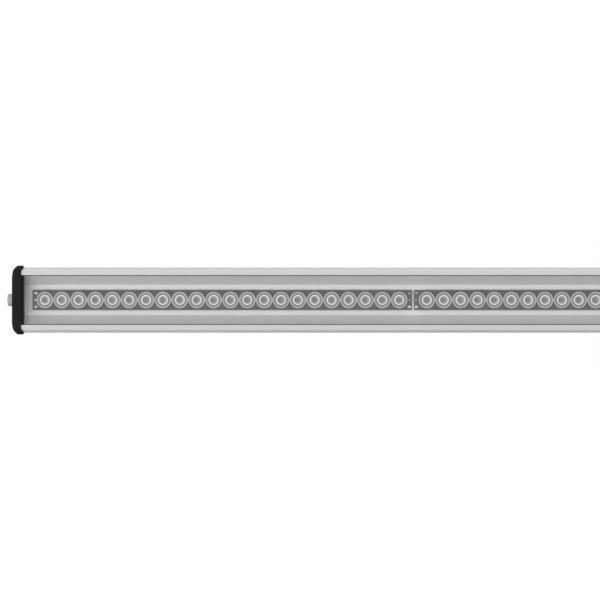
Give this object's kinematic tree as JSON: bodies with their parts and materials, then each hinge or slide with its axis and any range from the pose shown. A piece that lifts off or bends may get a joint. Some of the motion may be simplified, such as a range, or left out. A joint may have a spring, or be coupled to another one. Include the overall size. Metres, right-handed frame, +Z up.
{
  "type": "outdoor wall washer light",
  "caption": "Linear outdoor wall washer light: lensed LED boards behind glass in an aluminium profile with moulded end caps, on two tilting brackets that clamp its rear slot.",
  "frame": {"origin": "middle of the four wall holes, on the wall", "axes": "+X along the lamp towards the cable gland, +Y into the wall, +Z up; the lamp shines along -Y at rest"},
  "size_m": [0.5434, 0.0872, 0.045],
  "materials": {
    "anodised_aluminium": "satin anodised, drawn along its length",
    "cast_aluminium": "satin, finely blasted",
    "clear_glass": "polished, anti-glare",
    "grey_silicone": "matt",
    "black_plastic": "fine moulded grain",
    "grey_plastic": "moulded, matt",
    "dark_grey_plastic": "moulded nylon",
    "white_plastic": "moulded",
    "black_rubber": "matt",
    "stainless_steel": "turned and rolled",
    "bracket_steel": "brushed sheet",
    "board_grey": "solder mask over traces",
    "board_green": "solder mask over traces",
    "led_phosphor": "clear dome over phosphor",
    "clear_lens": "moulded clear plastic",
    "copper_gold": "tinned and gold flashed",
    "tinned_wire": "tinned",
    "lead_insulation": "extruded insulation",
    "terminal_green": "moulded",
    "capacitor_sleeve": "shrunk sleeve",
    "ferrite": "pressed ferrite"
  },
  "bodies": {
    "wall_brackets": {"wall_bracket_left": "bracket_steel", "wall_bracket_right": "bracket_steel", "pivot_bolts": "stainless_steel", "pivot_washers": "stainless_steel", "pivot_nuts": "stainless_steel"},
    "clamps": {"clamp_shoe_left": "cast_aluminium", "clamp_shoe_right": "cast_aluminium", "slot_nuts": "stainless_steel", "clamp_screws": "stainless_steel"},
    "lamp": {"housing": "anodised_aluminium", "front_glass": "clear_glass", "glass_seal_upper": "grey_silicone", "glass_seal_lower": "grey_silicone", "end_cap_left": "black_plastic", "end_cap_right": "black_plastic", "cap_gasket_left": "grey_silicone", "cap_gasket_right": "grey_silicone", "cap_screws_left": "stainless_steel", "cap_screws_right": "stainless_steel", "vent_plug": "grey_plastic", "vent_seal": "black_rubber", "gland_body": "dark_grey_plastic", "gland_nut": "dark_grey_plastic", "gland_insert": "black_rubber", "gland_seal": "black_rubber", "led_board_left": "board_grey", "led_board_right": "board_grey", "led_chips_left": "led_phosphor", "led_chips_right": "led_phosphor", "lens_strip_left": "clear_lens", "lens_strip_right": "clear_lens", "thermal_tape_left": "grey_silicone", "thermal_tape_right": "grey_silicone", "solder_pads": "copper_gold", "link_wires": "tinned_wire", "supply_leads": "lead_insulation", "lead_grommet": "black_rubber", "driver_tray": "white_plastic", "driver_board": "board_green", "driver_screws": "stainless_steel", "driver_terminals": "terminal_green", "input_fuse": "dark_grey_plastic", "smoothing_capacitors": "capacitor_sleeve", "power_inductors": "ferrite", "power_transistors": "black_plastic", "driver_controller": "black_plastic", "protection_diode": "black_plastic"}
  },
  "joints": [
    {"name": "tilt", "type": "hinge", "parent": "wall_brackets", "child": "clamps", "pos_m": [0, -0.03, 0], "axis": [1, 0, 0], "range_deg": [-90, 90]},
    {"name": "lamp_slide", "type": "slide", "parent": "clamps", "child": "lamp", "axis": [1, 0, 0], "range_m": [-0.08, 0.08]}
  ]
}
